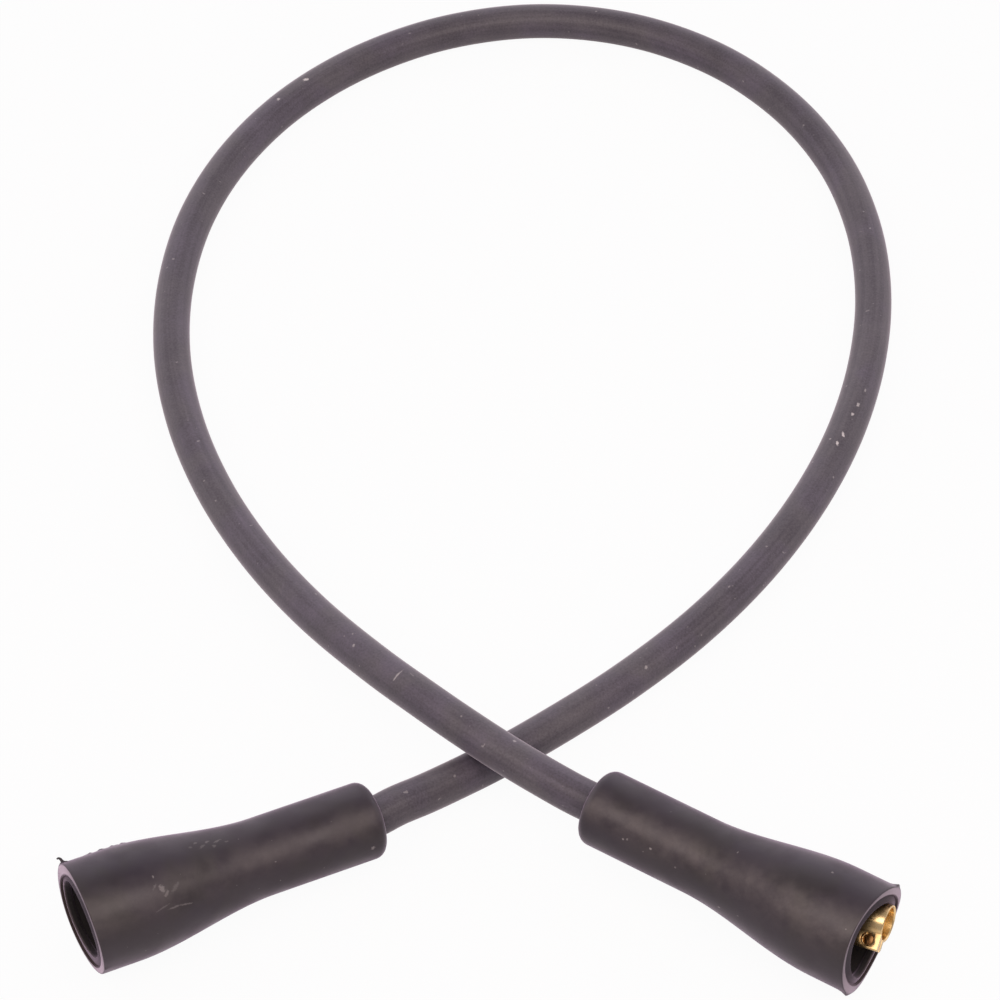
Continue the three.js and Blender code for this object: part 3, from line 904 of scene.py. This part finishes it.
def boot_rubber(tree, end):
    """Colour: two blacks by the tint, clouded, then a painted highlight by (0.5 + 0.5 cos of the
    turn from its own turn) to the 24th power, then the mouth's colours, then dust and marks."""
    place = object_place(tree)
    lengths = surface_lengths(tree)
    turn = node(tree, "ShaderNodeSeparateXYZ", {}, {"Vector": lengths}, "X") / (NECK_RADIUS * MM)
    along = node(tree, "ShaderNodeSeparateXYZ", {}, {"Vector": lengths}, "Y")
    cloud = noise(tree, place, scale=70.0, detail=4.0, roughness=0.6)
    tint = noise(tree, place, scale=120.0, detail=2.0, roughness=0.5).above(0.4, 0.6)
    smudge = noise(tree, place, scale=180.0, detail=3.0, roughness=0.55).above(0.35, 0.65)
    ripple = noise(tree, place, scale=260.0, detail=2.0, roughness=0.5)
    mottle = noise(tree, place, scale=420.0, detail=4.0, roughness=0.7).above(0.3, 0.7)
    grain = noise(tree, place, scale=3200.0, detail=2.0, roughness=0.6)
    dust = specks(tree, place, scale=1100.0, least=0.78, strength=0.3)
    marks = [(boot_along(height), *rest) for height, *rest in BOOT_MARKS[end]]
    black = mixed(tree, cloud.above(0.3, 0.75), mixed(tree, tint, *BOOT_BLACKS), BOOT_CLOUDED)
    # A painted highlight: paler rubber in a stripe round the side that faces the lamp.
    stripe = (0.5 + 0.5 * (turn - PAINTED_HIGHLIGHT_TURNS[end]).cosine()) ** PAINTED_HIGHLIGHT_NARROWNESS
    painted_highlight = stripe * (0.2 + mottle * 0.25 + smudge * 0.35) * PAINTED_HIGHLIGHT_SHARES[end]
    outside = mixed(tree, painted_highlight, black, BOOT_PAINTED_HIGHLIGHT)
    colour, rim, beyond_rim = mouth_colour(tree, end, outside, along, turn, smudge, grain)
    marked = dust.most(ovals(tree, NECK_RADIUS, marks))
    return {
        "Base Color": mixed(tree, marked, colour, BOOT_DUST),
        "Roughness": 0.33 + smudge * 0.14 + cloud * 0.08 + rim * 0.15 + beyond_rim * 0.45,
        "Specular IOR Level": 0.5,
        "Sheen Weight": 0.47,
        "Sheen Roughness": 0.35,
        "Sheen Tint": (0.92, 0.75, 1.0, 1.0),
        "Normal": bump(tree, ripple * 0.7 + grain * 0.3, RUBBER_BUMP, RUBBER_BUMP_HEIGHT),
    }


for end, piece in boots.items():
    piece.data.materials.append(finish(f"{end} boot rubber", lambda tree: boot_rubber(tree, end)))
shred.data.materials.append(boots["cap"].data.materials[0])

# %% [markdown]
# ## Brass
#
# The socket, its screw and the bared core are small turned pieces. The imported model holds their
# true form, so modelling them again would only add faces. A copy is merged at its seams and given
# fine bevels, which catch the light as the edge left by a tool does.

# %% Bevelled copies of the turned pieces
MERGE_DISTANCE = 0.002 * MM
BEVEL_SEGMENTS = 2
BEVEL_ANGLE = np.radians(35.0)


def bevelled_copy(name, node_name, width, material):
    """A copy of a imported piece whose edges, where sharper than the bevel's angle, are cut back."""
    source = frame["nodes"][node_name]
    mesh = source.data.copy()
    mesh.transform(source.matrix_world)
    mesh.name = name
    shade_smooth(mesh)
    mesh.materials.clear()
    mesh.materials.append(material)
    piece = linked(name, mesh)
    weld = piece.modifiers.new("merge seams", "WELD")
    weld.merge_threshold = MERGE_DISTANCE
    bevel = piece.modifiers.new("fine edges", "BEVEL")
    bevel.width = width
    bevel.segments = BEVEL_SEGMENTS
    bevel.limit_method = "ANGLE"
    bevel.angle_limit = BEVEL_ANGLE
    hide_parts(node_name)
    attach(piece, "root")
    print(name, "is a copy of", len(mesh.polygons), "faces")


# %% [markdown]
# Brass is a metal, so its colour is the colour of its reflections. Handling leaves it uneven: pale
# where it is bright, browner where it has begun to tarnish. The screw is painted darker and browner
# than the socket, as painted shade for the hole it sits in, and the core is a bundle of coppery
# strands.

# %% The metals' finishes
BRASSES = ((0.88, 0.67, 0.34), (0.68, 0.47, 0.21))
# The screw's browns are a darkened copy of the brass: painted shade for the hole it sits in.
SCREW_PAINTED_SHADE_BROWNS = ((0.24, 0.135, 0.055), (0.13, 0.065, 0.025))
CORE_COPPERS = ((0.8, 0.45, 0.27), (0.5, 0.26, 0.14))
SOCKET_EDGE = 0.07 * MM
SCREW_EDGE = 0.05 * MM
CORE_EDGE = 0.1 * MM


def brass(tree):
    """Bright to tarnished brass by clouds, with fine marks of the tool."""
    place = object_place(tree)
    cloud = noise(tree, place, scale=320.0, detail=3.0, roughness=0.6)
    tool = noise(tree, place, scale=2400.0, detail=2.0, roughness=0.5)
    return {
        "Base Color": mixed(tree, cloud.above(0.35, 0.7), *BRASSES),
        "Metallic": 1.0,
        "Roughness": 0.2 + cloud * 0.14,
        "Normal": bump(tree, tool, strength=0.06, distance=0.03 * MM),
    }


def screw_brass(tree):
    """Light to dark brown by clouds."""
    cloud = noise(tree, object_place(tree), scale=500.0, detail=3.0, roughness=0.6)
    return {
        "Base Color": mixed(tree, cloud, *SCREW_PAINTED_SHADE_BROWNS),
        "Metallic": 1.0,
        "Roughness": 0.2 + cloud * 0.14,
    }


def core_wire(tree):
    """Light to dark copper by lumps the size of a strand, which also lift the surface."""
    strands = noise(tree, object_place(tree), scale=1500.0, detail=2.0, roughness=0.5)
    return {
        "Base Color": mixed(tree, strands, *CORE_COPPERS),
        "Metallic": 1.0,
        "Roughness": 0.3 + strands * 0.2,
        "Normal": bump(tree, strands, strength=0.5, distance=0.1 * MM),
    }


brass_finish = finish("terminal brass", brass)
screw_finish = finish("screw brass", screw_brass)
core_finish = finish("core wire", core_wire)
for end in ENDS:
    bevelled_copy(
        f"{end}_brass_socket", f"{end}_terminal", SOCKET_EDGE, brass_finish
    )
    bevelled_copy(f"{end}_screw", f"{end}_clamp_screw", SCREW_EDGE, screw_finish)
    bevelled_copy(f"{end}_core", f"{end}_conductor_end", CORE_EDGE, core_finish)

# %% [markdown]
# ## Studio
#
# The photograph was taken on a bright white ground that runs up behind the wire, in a dimmer room,
# with one warm soft lamp near the camera. That is why the rubber has a light stripe on the side
# that faces the lamp, is darkest beside it, and turns pale again at its edges, where it mirrors the
# white ground and backdrop. The floor is plain paint that keeps the wire's shadow. The world is
# bright behind the wire and dim in front of it. Both look white to the camera.

# %% A surface that the camera sees as white
def seen_as_white(tree, lit, seen, mirrored):
    """A shader that stays lit for the light that falls on the pieces. It turns white by the share
    seen where the camera looks at it, and by the share mirrored where a reflection does."""
    camera_ray, glass_ray, mirror_ray = (
        node(tree, "ShaderNodeLightPath", output=f"Is {kind} Ray")
        for kind in ("Camera", "Transmission", "Glossy")
    )
    share = ((camera_ray + glass_ray) * seen + mirror_ray * mirrored).clamped()
    white = node(tree, "ShaderNodeEmission", {}, {"Color": (1.0, 1.0, 1.0, 1.0), "Strength": 1.0})
    return node(tree, "ShaderNodeMixShader", {}, {0: share, 1: lit, 2: white})


# %% The floor
FLOOR_HALF = 3.0
FLOOR_PAINT = (0.72, 0.7, 0.72, 1.0)
FLOOR_SEEN = 0.95
FLOOR_MIRRORED = 0.4

floor_mesh = bpy.data.meshes.new("floor")
floor_corners = [
    (x * FLOOR_HALF, y * FLOOR_HALF, 0.0) for x, y in ((-1, -1), (1, -1), (1, 1), (-1, 1))
]
floor_mesh.from_pydata(floor_corners, [], [(0, 1, 2, 3)])
floor = linked("floor", floor_mesh)
floor_material = bpy.data.materials.new("floor paint")
floor_tree = emptied(floor_material)
paint = node(floor_tree, "ShaderNodeBsdfDiffuse", {}, {"Color": FLOOR_PAINT})
floor_surface = seen_as_white(floor_tree, paint, FLOOR_SEEN, FLOOR_MIRRORED)
node(floor_tree, "ShaderNodeOutputMaterial", {}, {"Surface": floor_surface})
floor_mesh.materials.append(floor_material)
print("the floor is", 2 * FLOOR_HALF, "m wide")

# %% The world
BACKDROP_STRENGTH = 1.2
ROOM_STRENGTH = 0.36
ROOM_TINT = (1.0, 0.93, 1.0, 1.0)
BACKDROP_EDGE = (-0.05, 0.4)

world = bpy.data.worlds.new("studio")
world_tree = emptied(world)
# A world's texture coordinates begin with the direction that is looked in.
ahead = node(
    world_tree, "ShaderNodeVectorMath", {"operation": "DOT_PRODUCT"},
    {0: node(world_tree, "ShaderNodeTexCoord"), 1: tuple(towards_camera)}, output="Value",
)
strength = ahead.above(*BACKDROP_EDGE) * (ROOM_STRENGTH - BACKDROP_STRENGTH) + BACKDROP_STRENGTH
room = node(world_tree, "ShaderNodeBackground", {}, {"Color": ROOM_TINT, "Strength": strength})
world_surface = seen_as_white(world_tree, room, seen=1.0, mirrored=0.0)
node(world_tree, "ShaderNodeOutputWorld", {}, {"Surface": world_surface})
bpy.context.scene.world = world
bpy.context.scene.view_settings.view_transform = "Standard"
print("the backdrop has strength", BACKDROP_STRENGTH, "and the room", ROOM_STRENGTH)

# %% [markdown]
# The lamp is a wide, flat softbox. A rectangle gives a longer and softer stripe on a round piece
# than a bulb does. Its power is worked out from how bright its face should be, so that a change of
# size doesn't change the light on the wire's top.

# %% The lamp
LAMP_WIDTH = 2.0
LAMP_DEPTH = 0.5
LAMP_ELEVATION = np.radians(60.0)
LAMP_DISTANCE = 1.0
LAMP_RADIANCE = 2.9
LAMP_COLOUR = (1.0, 0.84, 0.78)

lamp = bpy.data.lights.new("strip softbox", "AREA")
lamp.shape = "RECTANGLE"
lamp.size = LAMP_WIDTH
lamp.size_y = LAMP_DEPTH
lamp.energy = LAMP_RADIANCE * np.pi * LAMP_WIDTH * LAMP_DEPTH
lamp.color = LAMP_COLOUR
aim_at_target(linked("strip softbox", lamp), in_front(LAMP_ELEVATION), LAMP_DISTANCE)
print("the softbox gives", round(lamp.energy, 1), "W")
